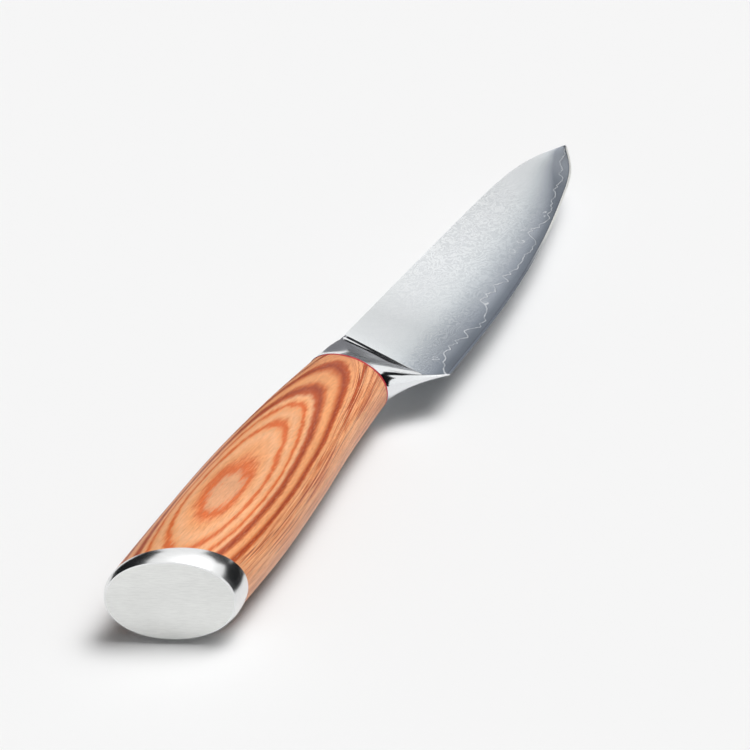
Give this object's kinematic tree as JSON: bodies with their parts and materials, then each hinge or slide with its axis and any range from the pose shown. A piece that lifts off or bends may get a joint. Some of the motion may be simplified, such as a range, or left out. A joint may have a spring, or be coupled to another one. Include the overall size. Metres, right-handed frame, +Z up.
{
  "type": "kitchen utility knife",
  "caption": "Kitchen utility knife: pointed pattern-welded blade, polished bolster with a finger sweep, red fibre spacer, laminated wood handle and slanted steel end cap.",
  "frame": {"origin": "middle of the outline's box, at the height of the lowest point of the handle, which lies on the floor", "axes": "+X from the butt to the tip, +Y from the cutting edge to the spine, +Z up through the thickness, with the blade's mid plane level"},
  "size_m": [0.2398, 0.0308, 0.0214],
  "materials": {
    "core_steel": "fine ground, with a polished bevel at the edge",
    "layered_steel": "etched layer pattern on a satin ground face",
    "polished_steel": "mirror polished",
    "red_fibre": "matt vulcanised fibre",
    "laminated_wood": "resin filled laminate, satin",
    "adhesive": "cast epoxy",
    "tang_steel": "as rolled",
    "brushed_cap_steel": "polished side, brushed end face"
  },
  "bodies": {
    "root": {"blade_core": "core_steel", "blade_cladding_right": "layered_steel", "blade_cladding_left": "layered_steel", "bolster": "polished_steel", "fibre_spacer": "red_fibre", "handle_block": "laminated_wood", "tang_bedding": "adhesive", "tang_bar": "tang_steel", "end_cap": "brushed_cap_steel"}
  },
  "joints": []
}
